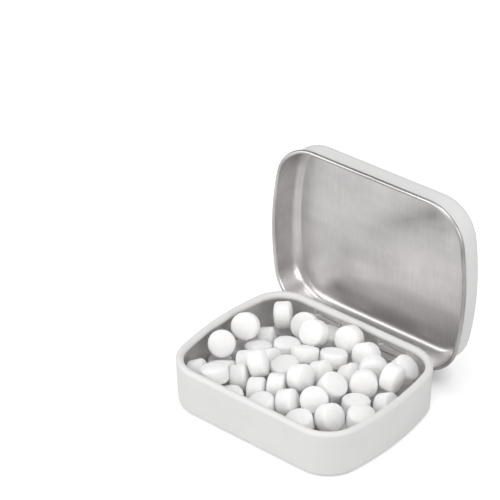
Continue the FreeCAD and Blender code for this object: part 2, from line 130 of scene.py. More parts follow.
def ramp(tree, factor, *stops):
    """A colour ramp through (place, colour) stops."""
    node = tree.nodes.new("ShaderNodeValToRGB")
    elements = node.color_ramp.elements
    while len(elements) < len(stops):
        elements.new(1.0)
    for element, (place, colour) in zip(elements, stops):
        element.position = place
        element.color = (*colour, 1)
    tree.links.new(factor, node.inputs["Fac"])
    return node.outputs["Color"]


def grey(value, warmth=0.0):
    """A grey, a little more red than blue where warmth is above zero."""
    return (value * (1 + warmth), value, value * (1 - warmth))


def spread(tree, factor, low, high):
    """Maps the middle of a noise, where most of it lies, onto a range of values."""
    node = tree.nodes.new("ShaderNodeMapRange")
    node.inputs["From Min"].default_value = NOISE_LOW
    node.inputs["From Max"].default_value = NOISE_HIGH
    node.inputs["To Min"].default_value = low
    node.inputs["To Max"].default_value = high
    tree.links.new(factor, node.inputs["Value"])
    return node.outputs["Result"]


def bump(tree, height, depth, strength, after=None):
    """A bump whose full height is depth, in metres, laid over an earlier one if there is one."""
    node = tree.nodes.new("ShaderNodeBump")
    node.inputs["Strength"].default_value = strength
    node.inputs["Distance"].default_value = depth
    tree.links.new(height, node.inputs["Height"])
    if after is not None:
        tree.links.new(after, node.inputs["Normal"])
    return node.outputs["Normal"]


print("finish helpers ready")

# %% [markdown]
# ### White enamel
# The outside carries a baked white coat. It is smooth but not a mirror: a fine orange peel softens
# its highlights. A flat colour would look like plastic, so the tone drifts by a percent or two.

# %% White enamel
ENAMEL_DARK = grey(0.70, 0.006)
ENAMEL_LIGHT = grey(0.72, 0.006)
ENAMEL_ROUGH = (0.46, 0.56)
ENAMEL_GLOSS = 0.3
PEEL_GRAINS = 1300
PEEL_DEPTH = 0.02 * MM

white_enamel, tree, shader = new_finish("white_enamel")
drift = ramp(tree, noise(tree, 90), (0.35, ENAMEL_DARK), (0.65, ENAMEL_LIGHT))
tree.links.new(drift, shader.inputs["Base Color"])
tree.links.new(spread(tree, noise(tree, 400), *ENAMEL_ROUGH), shader.inputs["Roughness"])
peel = bump(tree, noise(tree, PEEL_GRAINS, 1.0), PEEL_DEPTH, 0.25)
tree.links.new(peel, shader.inputs["Normal"])
shader.inputs["Specular IOR Level"].default_value = ENAMEL_GLOSS
print("finish:", white_enamel.name)

# %% [markdown]
# ### Painted reflections and shade in the metal's tone
# A bare sheet mirrors the whole room, with its lit and its dark corners, and this stage has only
# three lamps, a floor and an even grey sky. A room full of screens could be built round the tin.
# Here soft ovals painted into the metal's tone stand for that room: they are painted reflections,
# with painted shade and painted light among them. They are quick to place, but they stay
# on the metal when the lid turns. A broad noise under them gives the metal its blotches.

# %% Painted reflections and shade
BLOTCHES = 170
BLOTCH_STRETCH = (0.5, 1, 1.3)
RIGHT_THROUGH = 10


def with_painted_light(tree, shade, painted_ovals):
    """Blotches a colour, then paints reflections, shade and light into it as soft ovals that run
    right through in y.
    """
    place = tree.nodes.new("ShaderNodeTexCoord")
    total = spread(tree, noise(tree, BLOTCHES, 3.0, BLOTCH_STRETCH), 0.94, 1.06)
    for x, z, half_length, half_height, tilt, change in painted_ovals:
        mapping = tree.nodes.new("ShaderNodeMapping")
        mapping.vector_type = "TEXTURE"
        mapping.inputs["Location"].default_value = (x * MM, 0, z * MM)
        mapping.inputs["Rotation"].default_value = (0, -math.radians(tilt), 0)
        mapping.inputs["Scale"].default_value = (half_length * MM, RIGHT_THROUGH, half_height * MM)
        tree.links.new(place.outputs["Object"], mapping.inputs["Vector"])
        oval = tree.nodes.new("ShaderNodeTexGradient")
        oval.gradient_type = "QUADRATIC_SPHERE"
        tree.links.new(mapping.outputs["Vector"], oval.inputs["Vector"])
        amount = tree.nodes.new("ShaderNodeMath")
        amount.operation = "MULTIPLY_ADD"
        tree.links.new(oval.outputs["Fac"], amount.inputs[0])
        amount.inputs[1].default_value = change
        tree.links.new(total, amount.inputs[2])
        total = amount.outputs["Value"]
    scaled = tree.nodes.new("ShaderNodeVectorMath")
    scaled.operation = "SCALE"
    tree.links.new(shade, scaled.inputs[0])
    tree.links.new(total, scaled.inputs["Scale"])
    return scaled.outputs["Vector"]


print("soft ovals ready")

# %% [markdown]
# ### Bare tinplate
# Inside, the steel shows. Rolling has left fine lines in it, all in one direction, and drawing has
# left it faintly uneven. So the metal gets a noise stretched into streaks for its tone, its
# roughness and a very fine bump, and a second, broad noise that makes reflections waver.

# %% Bare tinplate
ROLLED_LINES = 4200
ROLLED_STRETCH = (1, 1, 0.015)
LINE_DEPTH = 0.01 * MM
WAVES = 55
WAVE_DEPTH = 0.4 * MM


def rosy(value):
    """The faint warm cast of tinned steel."""
    return (value * 1.016, value * 0.988, value * 0.988)


def tinplate(name, tone, rough, waver, metal, painted_ovals):
    """Bare rolled metal whose streaks run up and down."""
    finish, tree, shader = new_finish(name)
    streaks = noise(tree, ROLLED_LINES, 2.0, ROLLED_STRETCH)
    shade = ramp(tree, streaks, (NOISE_LOW, rosy(tone * 0.94)), (NOISE_HIGH, rosy(tone * 1.03)))
    # The ovals paint reflections, shade and light into the metal's tone.
    tree.links.new(with_painted_light(tree, shade, painted_ovals), shader.inputs["Base Color"])
    tree.links.new(spread(tree, streaks, rough * 0.94, rough * 1.06), shader.inputs["Roughness"])
    uneven = bump(tree, noise(tree, WAVES, 1.0), WAVE_DEPTH, waver)
    lines = bump(tree, streaks, LINE_DEPTH, 0.1, uneven)
    tree.links.new(lines, shader.inputs["Normal"])
    shader.inputs["Metallic"].default_value = metal
    print("finish:", name, "with", len(painted_ovals), "ovals")
    return finish


# %% [markdown]
# ### Three grades of tinplate
# The lid's panel keeps the dull face of the rolled sheet. Its corners, skirt and bead have been
# drawn over a die, which polishes them. The base's inside is the dullest, and it is made only half
# metallic, which brings its shaded walls nearer to the photograph's tone.
# Each grade carries painted reflections, painted shade and painted light as ovals in its tone.
# An oval is the x and z of its middle, half its length and half its height, all in mm, its tilt
# in degrees and the change of tone. A change of -0.35 takes away about a third of the tone in the
# middle of the oval.

# %% Three grades of tinplate
# Painted reflections on the lid's panel: lighter where it would mirror lit floor, darker where it
# would mirror shade.
PANEL_PAINTED_REFLECTIONS = [
    (7, 40.5, 20, 6, 32, -0.35),
    (14, 44.5, 9, 5, 38, -0.3),
    (-11.6, 23.5, 9, 7, 0, -0.16),
    (-14.7, 12.7, 10, 6, -10, -0.35),
    (-6, 10, 7, 4, 0, 0.35),
    (3, 10, 6, 4, 0, -0.04),
    (13.5, 10, 7, 4, 0, 0.35),
    (-4, 14, 16, 6, 0, 0.45),
    (10, 14, 18, 6, 0, 0.36),
    (-20.5, 13.2, 9, 7, 45, 0.46),
    (26, 28, 4, 32, 0, -0.4),
    (-6, 18.5, 20, 5, 12, 0.35),
    (8, 27, 24, 14, 20, 0.25),
    (-7.7, 21.5, 8, 5, 0, 0.22),
    (1, 16.5, 11, 5, 0, 0.15),
    (17, 41.5, 8, 5, 35, -0.24),
]
# Painted reflections and painted shade on the lid's drawn corners, skirt, bead, shelf and hinge
# tongues.
CORNER_PAINTED_REFLECTIONS_AND_SHADE = [
    (26.5, 30, 7, 45, 0, -0.55),
    (27, 10, 10, 12, 0, -0.4),
    (0, 6.9, 70, 2.0, 0, -0.57),
    (0, 53.5, 90, 3.5, 0, -0.5),
    (-30.5, 30, 2.6, 45, 0, -0.4),
    (30.4, 28, 2.8, 50, 0, -0.45),
    (-27, 26, 2.4, 22, 0, 0.3),
    (28.5, 43, 3.6, 13, 0, -0.3),
    (-28, 48, 6, 12, 0, -0.42),
]
# Painted shade on the left of the base's inside walls and painted light on the right.
BASE_PAINTED_SHADE_AND_LIGHT = [
    (-30, 9, 34, 24, 0, -0.26),
    (16, 9, 16, 10, 0, 0.1),
]
lid_tin = tinplate(
    "lid_tinplate", tone=0.71, rough=0.36, waver=0.6, metal=1.0, painted_ovals=PANEL_PAINTED_REFLECTIONS
)
drawn_tin = tinplate(
    "drawn_tinplate", tone=0.76, rough=0.33, waver=0.12, metal=1.0, painted_ovals=CORNER_PAINTED_REFLECTIONS_AND_SHADE
)
base_tin = tinplate(
    "base_tinplate", tone=0.88, rough=0.5, waver=0.2, metal=0.5, painted_ovals=BASE_PAINTED_SHADE_AND_LIGHT
)

# %% [markdown]
# ### Pressed mint
# A mint is fine sugar powder under pressure: white, dull, a little see-through at its edges. Some
# subsurface scattering gives the glow, and two grain sizes in the bump give the powdery face.

# %% Pressed mint
POWDER_DARK = grey(0.82, 0.005)
POWDER_LIGHT = grey(0.85, 0.005)
COARSE_DEPTH = 0.06 * MM
FINE_DEPTH = 0.02 * MM
GLOW_REACH = 3.5 * MM

pressed_mint, tree, shader = new_finish("pressed_mint")
powder = ramp(tree, noise(tree, 700, 4.0), (0.3, POWDER_DARK), (0.6, POWDER_LIGHT))
tree.links.new(powder, shader.inputs["Base Color"])
coarse = bump(tree, noise(tree, 900), COARSE_DEPTH, 0.3)
fine = bump(tree, noise(tree, 4200), FINE_DEPTH, 0.4, coarse)
tree.links.new(fine, shader.inputs["Normal"])
shader.inputs["Roughness"].default_value = 0.62
shader.inputs["Subsurface Weight"].default_value = 1.0
shader.inputs["Subsurface Radius"].default_value = (GLOW_REACH, GLOW_REACH, GLOW_REACH)
shader.inputs["Subsurface Scale"].default_value = 1.0
shader.inputs["Specular IOR Level"].default_value = 0.3
shader.inputs["Sheen Weight"].default_value = 0.2
shader.inputs["Sheen Roughness"].default_value = 0.6
print("finish:", pressed_mint.name)

# %% [markdown]
# ## The tin's outline
# Seen from above, the tin has straight long sides, short ends that bow out a little, and round
# corners that run into both. Each stretch is a line or an arc, so a profile can be carried round
# it exactly: spin it about each arc's centre in turn, and draw it straight along the two lines.

# %% Outline
HALF_LENGTH = 28.7 * MM
HALF_DEPTH = 22.35 * MM
CORNER_RADIUS = 10.0 * MM
END_RADIUS = 78.0 * MM
CORNER_STEPS = 22
END_STEPS = 14
SIDE_STEPS = 12
WELD = 0.001 * MM
end_x = HALF_LENGTH - END_RADIUS
corner_y = HALF_DEPTH - CORNER_RADIUS
corner_x = end_x + math.sqrt((END_RADIUS - CORNER_RADIUS) ** 2 - corner_y ** 2)
end_turn = math.atan2(corner_y, corner_x - end_x)
corner_turn = math.pi / 2 - end_turn


def carry_round(sheet):
    """Carries the profile in the mesh, drawn at the right end of the front, once round the tin."""
    edge = sheet.verts[:] + sheet.edges[:]
    still = Vector((0, 0, 0))
    side = Vector((2 * corner_x / SIDE_STEPS, 0, 0))
    stretches = [
        ((corner_x, -corner_y), corner_turn, still, CORNER_STEPS),
        ((end_x, 0), 2 * end_turn, still, END_STEPS),
        ((corner_x, corner_y), corner_turn, still, CORNER_STEPS),
        ((0, 0), 0, -side, SIDE_STEPS),
        ((-corner_x, corner_y), corner_turn, still, CORNER_STEPS),
        ((-end_x, 0), 2 * end_turn, still, END_STEPS),
        ((-corner_x, -corner_y), corner_turn, still, CORNER_STEPS),
        ((0, 0), 0, side, SIDE_STEPS),
    ]
    for (x, y), angle, shift, steps in stretches:
        made = bmesh.ops.spin(
            sheet, geom=edge, cent=(x, y, 0), axis=(0, 0, 1), dvec=shift, angle=angle, steps=steps
        )
        edge = made["geom_last"]
    bmesh.ops.remove_doubles(sheet, verts=sheet.verts, dist=WELD)


print("outline: corners at", round(corner_x / MM, 2), round(corner_y / MM, 2), "mm")

# %% [markdown]
# ## Drawing a profile
# A profile is a chain of edges in the plane at the end of the front side. It could be typed in as
# a list of points, but then its bends would be hard to change. So it starts as one vertex:
# extruding that vertex draws a straight run, and spinning it draws a round bend.


# %% Profile helpers
def on_profile(across, up):
    """A point of the profile: distance from the middle towards the front, and height, in mm."""
    return Vector((corner_x, -across * MM, up * MM))


def start_profile(across, up):
    sheet = bmesh.new()
    return sheet, sheet.verts.new(on_profile(across, up))


def corners_in(made):
    return [item for item in made if isinstance(item, bmesh.types.BMVert)]


def edges_in(made):
    return [item for item in made if isinstance(item, bmesh.types.BMEdge)]


def run_to(sheet, end, across, up, steps=1):
    """Draws straight on to a point, in even steps."""
    way = (on_profile(across, up) - end.co) / steps
    for step in range(steps):
        end = bmesh.ops.extrude_vert_indiv(sheet, verts=[end])["verts"][0]
        bmesh.ops.translate(sheet, vec=way, verts=[end])
    return end


def bend_round(sheet, end, across, up, degrees, steps):
    """Draws on round a centre, anticlockwise where degrees is above zero."""
    made = bmesh.ops.spin(
        sheet,
        geom=[end],
        cent=on_profile(across, up),
        axis=(-1, 0, 0),
        angle=math.radians(degrees),
        steps=steps,
    )
    return corners_in(made["geom_last"])[0]


print("profile helpers ready")

# %% [markdown]
# ## Working on a sheet
# Once the profile has been carried round, the sheet is a ring with open edges. One helper turns
# all its faces the same way, and one finds an open edge at a known height. Two more slice a part
# of the sheet with a plane, and drop faces. A part is named by a test on the middle of each face.


# %% Sheet helpers
def face_away(sheet, point, away=True):
    """Turns all faces one way: away from an inside point, or towards it."""
    bmesh.ops.recalc_face_normals(sheet, faces=sheet.faces)
    balance = 0
    for face in sheet.faces:
        balance += (face.calc_center_median() - point).dot(face.normal) * face.calc_area()
    if (balance > 0) != away:
        bmesh.ops.reverse_faces(sheet, faces=sheet.faces)


def open_edge(sheet, up):
    """The open edge that lies level at a height, in mm."""
    return [edge for edge in sheet.edges
            if edge.is_boundary and all(abs(vert.co.z - up * MM) < WELD for vert in edge.verts)]


def wall_part(sheet, inside):
    """The faces whose middle passes a test on (x, y, z) in mm, with their edges and corners."""
    faces = [face for face in sheet.faces if inside(*(face.calc_center_median() / MM))]
    edges = {edge for face in faces for edge in face.edges}
    corners = {vert for face in faces for vert in face.verts}
    return faces, faces + list(edges) + list(corners)


def slice_wall(sheet, inside, point, normal):
    part = wall_part(sheet, inside)[1]
    bmesh.ops.bisect_plane(
        sheet, geom=part, dist=WELD / 10, plane_co=Vector(point) * MM, plane_no=normal
    )


def drop_wall(sheet, inside):
    bmesh.ops.delete(sheet, geom=wall_part(sheet, inside)[0], context="FACES")


print("sheet helpers ready")

# %% [markdown]
# ## From mesh to piece
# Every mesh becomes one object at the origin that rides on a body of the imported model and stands
# for the nodes that it replaces. Sheet metal then gets its gauge from a Solidify modifier, which
# can also give the back of the sheet its own finish, just as the real sheet is coated on one side.

# %% Piece helpers
GAUGE = 0.25
CUT_ROUND = 0.05
SHARP = math.radians(60)


def make_piece(name, mesh, body, finishes, replaced=()):
    data = bpy.data.meshes.new(name)
    mesh.to_mesh(data)
    mesh.free()
    for finish in finishes:
        data.materials.append(finish)
    data.polygons.foreach_set("use_smooth", [True] * len(data.polygons))
    piece = bpy.data.objects.new(name, data)
    bpy.context.scene.collection.objects.link(piece)
    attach(piece, body)
    if replaced:
        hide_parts(*replaced)
    print("piece:", name, len(data.polygons), "faces")
    return piece


def thicken(piece):
    """Gives a sheet its gauge, away from its drawn side, and rounds the cut edges."""
    gauge = piece.modifiers.new("gauge", "SOLIDIFY")
    gauge.thickness = GAUGE * MM
    gauge.offset = -1
    gauge.use_even_offset = True
    gauge.material_offset = 1
    gauge.material_offset_rim = 0
    cut_edge = piece.modifiers.new("cut_edge", "BEVEL")
    cut_edge.width = CUT_ROUND * MM
    cut_edge.segments = 2
    cut_edge.limit_method = "ANGLE"
    cut_edge.angle_limit = SHARP
    print("thickened:", piece.name, "to", GAUGE, "mm")


# %% [markdown]
# ## The base shell
# The base is drawn from one sheet: a flat floor, a heel, a wall that leans out a little and a rim
# rolled inwards through three quarters of a turn. The drawn side is the white one, so the coat
# runs over the rim and ends under it, and the wall inside is bare.

# %% Base profile
BASE_HEIGHT = 13.1
RIM = 1.0
LEAN = 0.43
HEEL = 1.5
FLOOR_INSET = 0.4
DEPTH = HALF_DEPTH / MM

base_sheet, tip = start_profile(DEPTH - RIM, BASE_HEIGHT - 2 * RIM)
tip = bend_round(base_sheet, tip, DEPTH - RIM, BASE_HEIGHT - RIM, -270, 24)
tip = run_to(base_sheet, tip, DEPTH - LEAN, HEEL, steps=4)
bend_round(base_sheet, tip, DEPTH - LEAN - HEEL, HEEL, -90, 8)
carry_round(base_sheet)
floor_edge = open_edge(base_sheet, 0)
floor_face = bmesh.ops.contextual_create(base_sheet, geom=floor_edge)["faces"]
bmesh.ops.inset_region(base_sheet, faces=floor_face, thickness=FLOOR_INSET * MM)
face_away(base_sheet, Vector((0, 0, BASE_HEIGHT / 2 * MM)))
print("base sheet:", len(base_sheet.faces), "faces")

# %% [markdown]
# ### Hinge windows
# Two windows are pierced through the back wall, with rounded upper corners, and a thin slit runs
# past each side of them. A boolean could cut them. Slicing the wall with planes and deleting what
# lies inside is cleaner, because the cut edges stay sharp and the sheet stays one layer.

# %% Hinge windows
HINGE_OFFSET = 10.2
HINGE_ACROSS = 22.25
HINGE_UP = BASE_HEIGHT - 5.45
TONGUE_WIDTH = 7.6
WINDOW_HALF = TONGUE_WIDTH / 2 + 0.3
WINDOW_TOP = BASE_HEIGHT - 4.0
WINDOW_ROUND = 0.9
ROUND_CUTS = [math.radians(degrees) for degrees in (22.5, 45, 67.5)]
SILL_UP = BASE_HEIGHT - 7.65
SLIT = 0.3
SLIT_TOP = BASE_HEIGHT - 3.0
SLIT_LOW = BASE_HEIGHT - 8.75


def on_back_wall(x, y, z):
    """The stretch of the back wall that holds both windows, clear of the rim and the heel."""
    return y > 20 and 2 < z < 11.5 and abs(x) < 17


def pierce(sheet, middle, side):
    """Opens one half of a window, rounding its upper corner, and the slit beside it."""
    corner = Vector((middle + side * (WINDOW_HALF - WINDOW_ROUND), 0, WINDOW_TOP - WINDOW_ROUND))
    cuts = [Vector((side * math.cos(cut), 0, math.sin(cut))) for cut in ROUND_CUTS]

    def in_half(x, y, z):
        beside = (x - middle) * side
        return on_back_wall(x, y, z) and 0 < beside < WINDOW_HALF and SILL_UP < z < WINDOW_TOP

    def in_window(x, y, z):
        place = Vector((x, 0, z)) - corner
        return in_half(x, y, z) and all(place.dot(cut) <= WINDOW_ROUND for cut in cuts)

    def in_slit(x, y, z):
        beside = (x - middle) * side - WINDOW_HALF
        return on_back_wall(x, y, z) and 0 < beside < SLIT and SLIT_LOW < z < SLIT_TOP

    for cut in cuts:
        slice_wall(sheet, in_half, corner + cut * WINDOW_ROUND, cut)
    drop_wall(sheet, in_window)
    drop_wall(sheet, in_slit)


for middle in (-HINGE_OFFSET, HINGE_OFFSET):
    for offset in (-WINDOW_HALF - SLIT, -WINDOW_HALF, WINDOW_HALF, WINDOW_HALF + SLIT):
        slice_wall(base_sheet, on_back_wall, (middle + offset, 0, 0), (1, 0, 0))
for up in (SLIT_TOP, WINDOW_TOP, SILL_UP, SLIT_LOW):
    slice_wall(base_sheet, on_back_wall, (0, 0, up), (0, 0, 1))
for middle in (-HINGE_OFFSET, HINGE_OFFSET):
    for side in (-1, 1):
        pierce(base_sheet, middle, side)
print("base sheet with windows:", len(base_sheet.faces), "faces")

# %% [markdown]
# ### Catch dimple
# A small boss is pressed outwards in the middle of the front wall, and the lid snaps over it. A
# half ball could be stuck on. Here the wall itself is sliced into a fine grid and the grid's
# corners are pushed out in a bell shape, so the sheet runs on without a seam.

# %% Catch dimple
DIMPLE_UP = BASE_HEIGHT - 4.1
DIMPLE_REACH = 0.75
DIMPLE_RISE = 0.22
GRID_STEPS = 6


def on_front_wall(x, y, z):
    """The middle of the front wall, clear of the rim and the heel."""
    return y < -20 and abs(x) < 4 and 3 < z < 11.9


def bell(distance, reach):
    """One in the middle, falling smoothly to zero at the reach."""
    return 0.5 + 0.5 * math.cos(math.pi * min(1, distance / reach))


for step in range(-GRID_STEPS, GRID_STEPS + 1):
    offset = step * DIMPLE_REACH / GRID_STEPS
    slice_wall(base_sheet, on_front_wall, (offset, 0, 0), (1, 0, 0))
    slice_wall(base_sheet, on_front_wall, (0, 0, DIMPLE_UP + offset), (0, 0, 1))
for corner in base_sheet.verts:
    x, y, z = corner.co / MM
    if on_front_wall(x, y, z):
        corner.co.y -= DIMPLE_RISE * bell(math.hypot(x, z - DIMPLE_UP), DIMPLE_REACH) * MM
print("base sheet with dimple:", len(base_sheet.faces), "faces")

# %% [markdown]
# ### Base piece
# The finished sheet becomes the piece that rides on the base. Its drawn side is enamelled and its
# back is bare. Only now does it get its gauge, so that every cut edge shows the sheet's thickness.

# %% Base piece
base_finishes = [white_enamel, base_tin]
base = make_piece("tin_base", base_sheet, "base", base_finishes, ["base_shell"])
thicken(base)

# %% [markdown]
# ### Hinge bars and sills
# A round bar crosses each window for the tongue to turn on, and the edge under it is rolled into
# a sill. Rolling them out of the sheet could be drawn too, but only their round fronts can be
# seen, so they are cylinders laid along the back wall, with their end edges taken off.

# %% Hinge bars and sills
BAR_LENGTH = 9.4
BAR_RADIUS = 0.35
SILL_RADIUS = 0.34
SILL_ACROSS = 21.885
LAID_ALONG = Matrix.Rotation(math.pi / 2, 4, "Y")

bars = bmesh.new()
rods = [(HINGE_ACROSS, HINGE_UP, BAR_RADIUS), (SILL_ACROSS, SILL_UP, SILL_RADIUS)]
for middle in (-HINGE_OFFSET, HINGE_OFFSET):
    for across, up, radius in rods:
        made = bmesh.ops.create_cone(
            bars,
            cap_ends=True,
            segments=24,
            radius1=radius * MM,
            radius2=radius * MM,
            depth=BAR_LENGTH * MM,
            matrix=Matrix.Translation(Vector((middle, across, up)) * MM) @ LAID_ALONG,
        )
        edges = {edge for vert in made["verts"] for edge in vert.link_edges}
        ends = [edge for edge in edges if edge.calc_face_angle() > SHARP]
        bmesh.ops.bevel(
            bars, geom=ends, offset=CUT_ROUND * MM, segments=2, profile=0.5,
            affect="EDGES", material=-1,
        )
make_piece("hinge_bars", bars, "base", [base_tin])

# %% [markdown]
# ## The lid shell
# The lid is modelled shut, where its measures are plain, and thrown back afterwards. Its sheet
# turns the other way: the edge is rolled outwards, so bare metal covers the bead. The drawn side
# is therefore the bare inside, and the white coat is the back of the sheet.

# %% Lid profile
LID_GAP = 0.38
LID_EDGE = BASE_HEIGHT - 4.85
LID_DEPTH = 8.5
LID_BEND = 2.7 - GAUGE
BEAD = 0.52
CROWN = 0.22
skirt = DEPTH + LID_GAP
panel_up = LID_EDGE + LID_DEPTH - GAUGE
bend_up = panel_up - CROWN - LID_BEND

lid_sheet, tip = start_profile(skirt + BEAD, LID_EDGE + 2 * BEAD)
tip = bend_round(lid_sheet, tip, skirt + BEAD, LID_EDGE + BEAD, -270, 20)
tip = run_to(lid_sheet, tip, skirt, bend_up, steps=4)
bend_round(lid_sheet, tip, skirt - LID_BEND, bend_up, 90, 14)
carry_round(lid_sheet)
print("lid sheet without its panel:", len(lid_sheet.faces), "faces")

# %% [markdown]
# ### Crowned panel
# The panel is crowned by a hair, which a press does to keep it stiff. One flat face would mirror
# like a pane of glass. So rings of edges are drawn in from the bend, each scaled towards the
# middle and lifted a little more than the last, and a small face closes the middle.

# %% Crowned panel
RING_SHARES = [0.97, 0.9, 0.8, 0.66, 0.5, 0.33, 0.16]
lid_middle = Vector((0, 0, panel_up / 2 * MM))

ring = open_edge(lid_sheet, panel_up - CROWN)
size = 1.0
for share in RING_SHARES:
    made = bmesh.ops.extrude_edge_only(lid_sheet, edges=ring)["geom"]
    corners = corners_in(made)
    ring = [edge for edge in edges_in(made) if edge.is_boundary]
    bmesh.ops.scale(lid_sheet, vec=(share / size, share / size, 1), verts=corners)
    for corner in corners:
        corner.co.z = (panel_up - CROWN * share ** 2) * MM
    size = share
bmesh.ops.contextual_create(lid_sheet, geom=ring)
face_away(lid_sheet, lid_middle, away=False)
print("lid sheet:", len(lid_sheet.faces), "faces")

# %% [markdown]
# ### Hinge tongues
# Two notches are cut out of the bead. In each, the skirt's edge is drawn on as a tongue: it leans
# out past the bead, turns back in through the window and curls round the hinge bar. Extruding the
# cut edge keeps the tongue one sheet with the lid, as it is when it comes out of the press.

# %% Hinge tongues
NOTCH_TOP = 9.96
TONGUE_TURNS = [(skirt, 9.61), (23.71, 8.63), (23.71, 8.43), (22.59, 7.31)]
CURL_STEPS = 12
HAIR = 0.01
hinge = Vector((0, HINGE_ACROSS, HINGE_UP)) * MM


def on_back_edge(x, y, z):
    """The lower edge of the lid's back, where both tongues are."""
    return y > 20 and z < 12 and abs(x) < 17


def draw_tongue(sheet, middle):
    """Cuts a notch, draws its upper edge through the tongue's turns and curls it round the bar."""

    def in_notch(x, y, z):
        return on_back_edge(x, y, z) and abs(x - middle) < WINDOW_HALF and z < NOTCH_TOP

    def in_tongue(vert):
        return abs(vert.co.x / MM - middle) < TONGUE_WIDTH / 2 + HAIR

    drop_wall(sheet, in_notch)
    cut = open_edge(sheet, NOTCH_TOP)
    edge = [item for item in cut if all(in_tongue(vert) for vert in item.verts)]
    for across, up in TONGUE_TURNS:
        made = bmesh.ops.extrude_edge_only(sheet, edges=edge)["geom"]
        corners = corners_in(made)
        shift = Vector((0, across * MM - corners[0].co.y, up * MM - corners[0].co.z))
        bmesh.ops.translate(sheet, vec=shift, verts=corners)
        edge = [item for item in edges_in(made)
                if abs(item.verts[0].co.z - item.verts[1].co.z) < WELD]
    bmesh.ops.spin(
        sheet, geom=corners + edge, cent=hinge, axis=(-1, 0, 0), angle=math.pi, steps=CURL_STEPS
    )


for middle in (-HINGE_OFFSET, HINGE_OFFSET):
    for offset in (-WINDOW_HALF, -TONGUE_WIDTH / 2, TONGUE_WIDTH / 2, WINDOW_HALF):
        slice_wall(lid_sheet, on_back_edge, (middle + offset, 0, 0), (1, 0, 0))
slice_wall(lid_sheet, on_back_edge, (0, 0, NOTCH_TOP), (0, 0, 1))
for middle in (-HINGE_OFFSET, HINGE_OFFSET):
    draw_tongue(lid_sheet, middle)
face_away(lid_sheet, lid_middle, away=False)
print("lid sheet with tongues:", len(lid_sheet.faces), "faces")

# %% [markdown]
# ### Catch swelling
# Over the base's dimple the front bead swells a little, so that a thumb finds it. It is the same
# bell shape again, laid along the bead and growing towards the bead's outer side.

# %% Catch swelling
SWELL_HALF = 2.4
SWELL_RISE = 0.07


def on_front_bead(x, y, z):
    """The middle of the front bead, without the skirt behind it."""
    return y < -skirt - HAIR and z < LID_EDGE + 2.2 * BEAD and abs(x) < 4


for step in range(-GRID_STEPS, GRID_STEPS + 1):
    slice_wall(lid_sheet, on_front_bead, (step * SWELL_HALF / GRID_STEPS, 0, 0), (1, 0, 0))
for corner in lid_sheet.verts:
    x, y, z = corner.co / MM
    if on_front_bead(x, y, z):
        outward = max(0, (-y - skirt) / (2 * BEAD) - 0.5) * 2
        corner.co.y -= SWELL_RISE * outward * bell(abs(x), SWELL_HALF) * MM
print("lid sheet with swelling:", len(lid_sheet.faces), "faces")

# %% [markdown]
# ### Lid piece
# The panel and the drawn parts get their own grade of bare metal. Solidify takes the finish one
# place further on for the back of the sheet, so the enamel stands after each of the two. Then the
# lid is thrown back about the hinge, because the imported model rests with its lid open.

# %% Lid piece
LID_ANGLE = math.radians(92)
PANEL, DRAWN = 0, 2
open_turn = Matrix.Rotation(LID_ANGLE, 3, (-1, 0, 0))

for face in lid_sheet.faces:
    on_panel = face.calc_center_median().z > (panel_up - CROWN - HAIR) * MM
    face.material_index = PANEL if on_panel else DRAWN
bmesh.ops.rotate(lid_sheet, cent=hinge, matrix=open_turn, verts=lid_sheet.verts)
lid_finishes = [lid_tin, white_enamel, drawn_tin, white_enamel]
lid = make_piece("tin_lid", lid_sheet, "lid", lid_finishes, ["lid_shell"])
thicken(lid)

# %% [markdown]
# ## One mint
# A mint is a turned shape: half of its outline, a shallow dome and a straight band, is drawn,
# mirrored and spun once round. Its edge could be drawn as an arc as well. A bevel does the same
# and keeps the outline to a few vertices.

# %% One mint
MINT_RADIUS = 3.48
MINT_HALF = 2.3
DOME_RISE = 0.42
DOME_STEPS = 5
TURN_STEPS = 40
EDGE_ROUND = 0.58
EDGE_STEPS = 5
EDGE_ANGLE = math.radians(30)


def mint_shape(share):
    """A mint about the origin, its axis upright, at a share of the full size."""
    tablet = bmesh.new()
    ball = (MINT_RADIUS ** 2 + DOME_RISE ** 2) / (2 * DOME_RISE)
    ball_middle = (0, 0, (MINT_HALF - ball) * MM)
    slope = math.asin(MINT_RADIUS / ball)
    top = tablet.verts.new((0, 0, MINT_HALF * MM))
    made = bmesh.ops.spin(
        tablet, geom=[top], cent=ball_middle, axis=(0, 1, 0), angle=slope, steps=DOME_STEPS
    )
    rim = corners_in(made["geom_last"])
    band = bmesh.ops.extrude_vert_indiv(tablet, verts=rim)["verts"]
    bmesh.ops.translate(tablet, vec=(0, 0, -rim[0].co.z), verts=band)
    bmesh.ops.mirror(tablet, geom=tablet.verts[:] + tablet.edges[:], axis="Z", merge_dist=WELD)
    bmesh.ops.spin(
        tablet,
        geom=tablet.verts[:] + tablet.edges[:],
        cent=(0, 0, 0),
        axis=(0, 0, 1),
        angle=2 * math.pi,
        steps=TURN_STEPS,
        use_merge=True,
    )
    bmesh.ops.remove_doubles(tablet, verts=tablet.verts, dist=WELD)
    bmesh.ops.recalc_face_normals(tablet, faces=tablet.faces)
    rims = [edge for edge in tablet.edges if edge.calc_face_angle() > EDGE_ANGLE]
    bmesh.ops.bevel(
        tablet, geom=rims, offset=EDGE_ROUND * MM, segments=EDGE_STEPS, profile=0.5,
        affect="EDGES", material=-1,
    )
    bmesh.ops.scale(tablet, vec=(share, share, share), verts=tablet.verts)
    return tablet


sample = mint_shape(1.0)
print("one mint:", len(sample.faces), "faces")
sample.free()

# %% [markdown]
# ## Where the mints lie
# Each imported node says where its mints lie. A list of places could be typed in, but it would have
# to be changed with every change of the heap. So the places are measured: a solid is a set of
# joined corners, the middle of their box is the mint's centre, and the direction in which they
# spread least is its axis.


# %% Where the mints lie
def joined_to(start):
    """All corners that edges join to one corner."""
    found = {start}
    front = [start]
    while front:
        corner = front.pop()
        for edge in corner.link_edges:
            other = edge.other_vert(corner)
            if other not in found:
                found.add(other)
                front.append(other)
    return found


